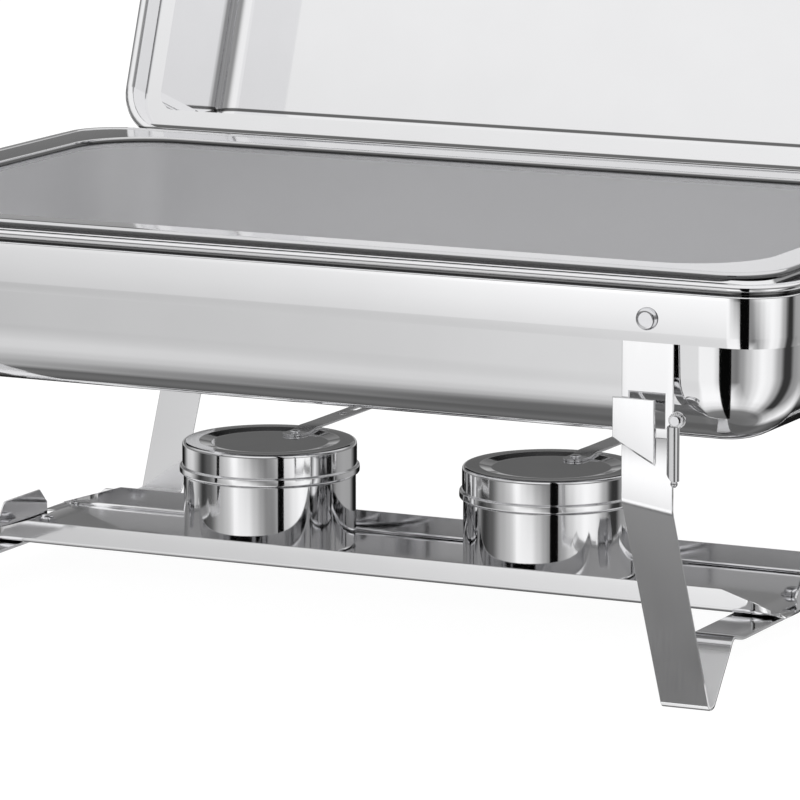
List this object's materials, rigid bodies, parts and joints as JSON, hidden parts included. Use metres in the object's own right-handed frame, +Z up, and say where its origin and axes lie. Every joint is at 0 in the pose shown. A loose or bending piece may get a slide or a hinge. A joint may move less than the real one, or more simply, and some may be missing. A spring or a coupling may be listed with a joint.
{
  "type": "roll top chafer",
  "caption": "Rectangular stainless chafing dish: food pan in a deep water pan on a folding leg stand, a fuel shelf with lidded fuel holders, and a rear-hinged lid rolled down at the front.",
  "frame": {"origin": "on the table plane under the middle of the bounding box of the part with its lid standing open", "axes": "+X along the pan's length to the right seen from the serving side, +Y from the serving side to the lid hinge, +Z up"},
  "size_m": [0.5556, 0.5809, 0.5182],
  "materials": {
    "polished_steel": "mirror polished stainless steel",
    "pan_steel": "bright satin stainless steel",
    "stand_steel": "polished strip with satin legs",
    "fitting_steel": "satin stainless steel",
    "fastener_steel": "satin stainless steel"
  },
  "bodies": {
    "base": {"rim_band": "polished_steel", "water_pan": "polished_steel", "band_rivets": "fastener_steel", "latch_pins": "fastener_steel", "tray": "stand_steel", "tray_bolts": "fastener_steel", "tray_washers": "fastener_steel", "tray_nuts": "fastener_steel", "end_frame_left": "stand_steel", "end_frame_right": "stand_steel", "hinge_bracket_left": "fitting_steel", "hinge_bracket_right": "fitting_steel", "hinge_pins": "fastener_steel", "hinge_band_rivets": "fastener_steel", "bracket_front_right": "stand_steel", "bracket_front_left": "stand_steel", "bracket_back_right": "stand_steel", "bracket_back_left": "stand_steel"},
    "lid": {"lid_shell": "polished_steel", "lid_rim": "polished_steel", "lid_grip": "polished_steel", "lid_grip_posts": "polished_steel", "hinge_arm_left": "fitting_steel", "hinge_arm_right": "fitting_steel", "hinge_lid_rivets": "fastener_steel"},
    "food_pan": {"food_pan": "pan_steel"},
    "fuel_cup_left": {"fuel_cup_left": "polished_steel"},
    "snuffer_left": {"snuffer_lid_left": "polished_steel", "snuffer_handle_left": "fitting_steel", "snuffer_rivet_left": "fastener_steel"},
    "fuel_cup_right": {"fuel_cup_right": "polished_steel"},
    "snuffer_right": {"snuffer_lid_right": "polished_steel", "snuffer_handle_right": "fitting_steel", "snuffer_rivet_right": "fastener_steel"},
    "latch_front_right": {"latch_front_right": "fitting_steel"},
    "latch_front_left": {"latch_front_left": "fitting_steel"},
    "latch_back_right": {"latch_back_right": "fitting_steel"},
    "latch_back_left": {"latch_back_left": "fitting_steel"}
  },
  "joints": [
    {"name": "lid_hinge", "type": "hinge", "parent": "base", "child": "lid", "pos_m": [0, 0.08104, 0.1822], "axis": [1, 0, 0], "range_deg": [0, 110]},
    {"name": "food_pan_lift", "type": "slide", "parent": "base", "child": "food_pan", "axis": [0, 0, 1], "range_m": [0, 0.006]},
    {"name": "fuel_cup_left_lift", "type": "slide", "parent": "base", "child": "fuel_cup_left", "axis": [0, 0, 1], "range_m": [0, 0.014]},
    {"name": "snuffer_left_lift", "type": "slide", "parent": "fuel_cup_left", "child": "snuffer_left", "axis": [0, 0, 1], "range_m": [0, 0.024]},
    {"name": "fuel_cup_right_lift", "type": "slide", "parent": "base", "child": "fuel_cup_right", "axis": [0, 0, 1], "range_m": [0, 0.014]},
    {"name": "snuffer_right_lift", "type": "slide", "parent": "fuel_cup_right", "child": "snuffer_right", "axis": [0, 0, 1], "range_m": [0, 0.024]},
    {"name": "latch_front_right_swing", "type": "hinge", "parent": "base", "child": "latch_front_right", "pos_m": [0.2255, -0.28346, 0.1342], "axis": [0, 1, 0], "range_deg": [-90, 0]},
    {"name": "latch_front_left_swing", "type": "hinge", "parent": "base", "child": "latch_front_left", "pos_m": [-0.2255, -0.28346, 0.1342], "axis": [0, 1, 0], "range_deg": [0, 90]},
    {"name": "latch_back_right_swing", "type": "hinge", "parent": "base", "child": "latch_back_right", "pos_m": [0.2255, 0.06554, 0.1342], "axis": [0, 1, 0], "range_deg": [-90, 0]},
    {"name": "latch_back_left_swing", "type": "hinge", "parent": "base", "child": "latch_back_left", "pos_m": [-0.2255, 0.06554, 0.1342], "axis": [0, 1, 0], "range_deg": [0, 90]}
  ]
}
